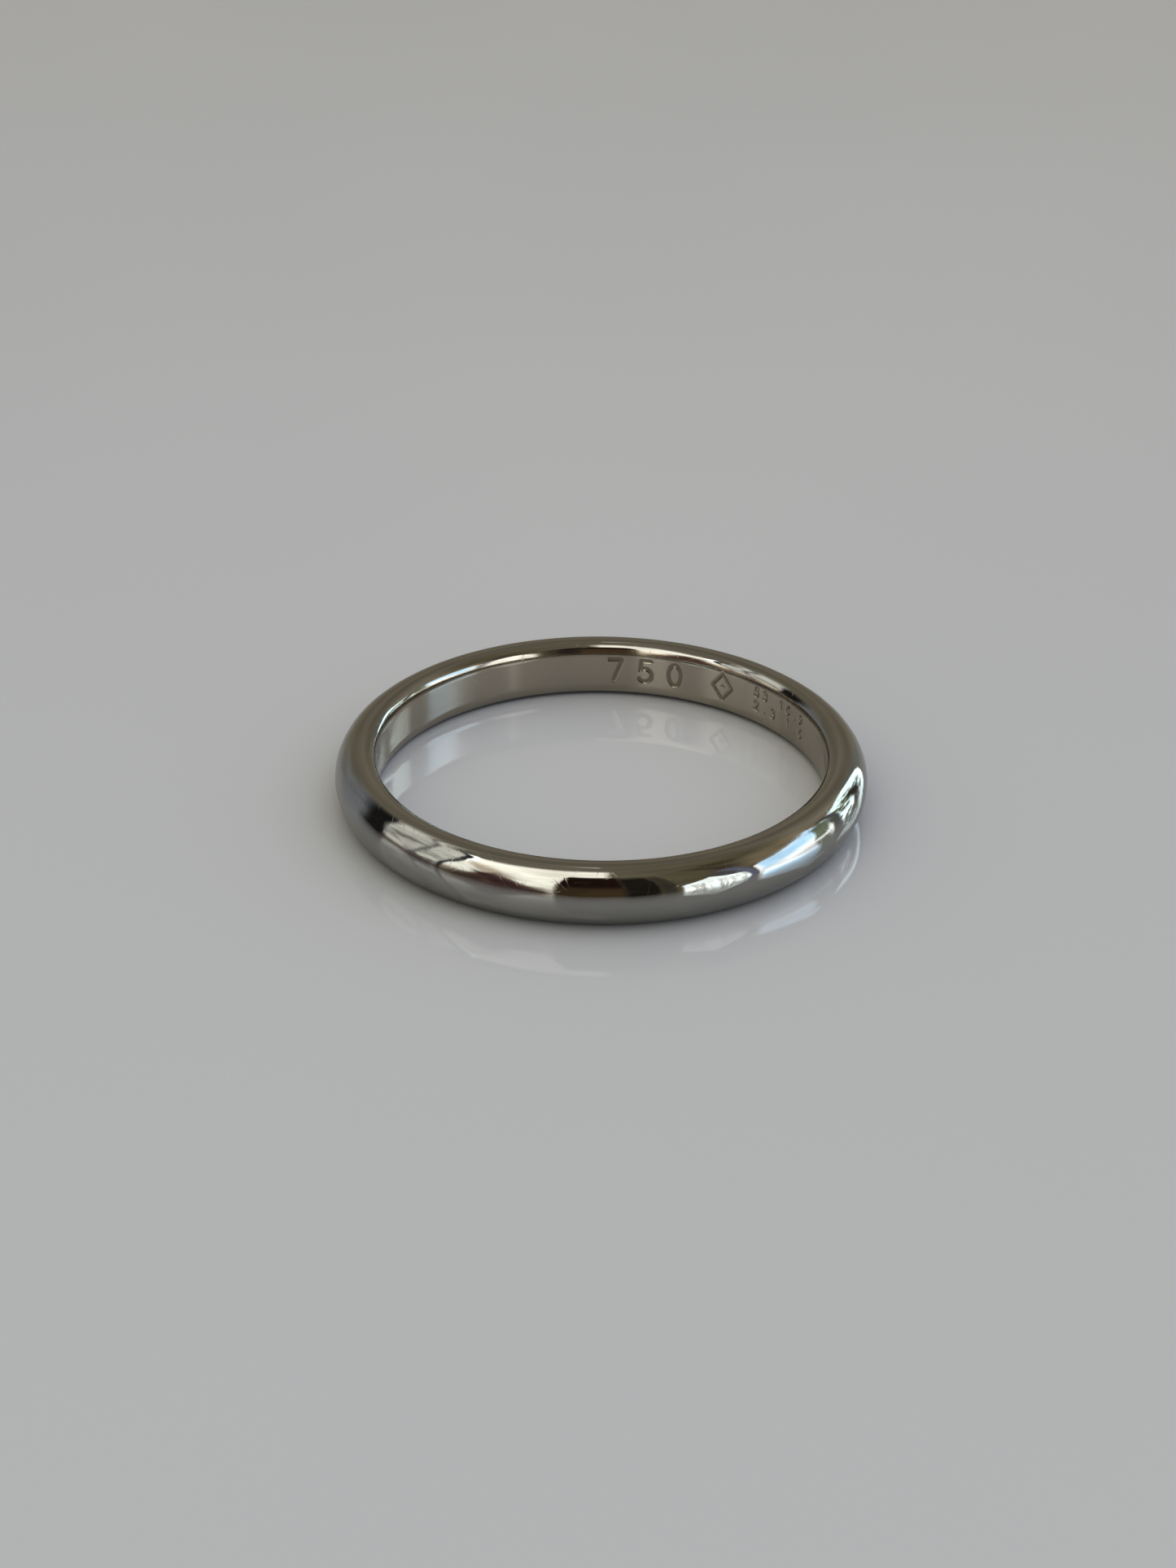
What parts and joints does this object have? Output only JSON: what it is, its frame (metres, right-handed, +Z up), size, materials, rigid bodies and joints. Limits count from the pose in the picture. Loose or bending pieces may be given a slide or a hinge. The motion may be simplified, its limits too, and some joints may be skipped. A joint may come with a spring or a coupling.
{
  "type": "wedding band",
  "caption": "Plain half-round ring of polished white gold: domed outside, straight bore with worn, eased edges, very narrow flat rims.",
  "frame": {"origin": "centre of the ring on the surface that it lies on", "axes": "+Z up along the ring's axis, X and Y in the plane of the surface; the stamped marks on the bore's wall are centred on the side towards +Y and a little towards +X"},
  "size_m": [0.02, 0.02, 0.0023],
  "materials": {
    "white_gold": "polished"
  },
  "bodies": {
    "root": {"band": "white_gold"}
  },
  "joints": []
}
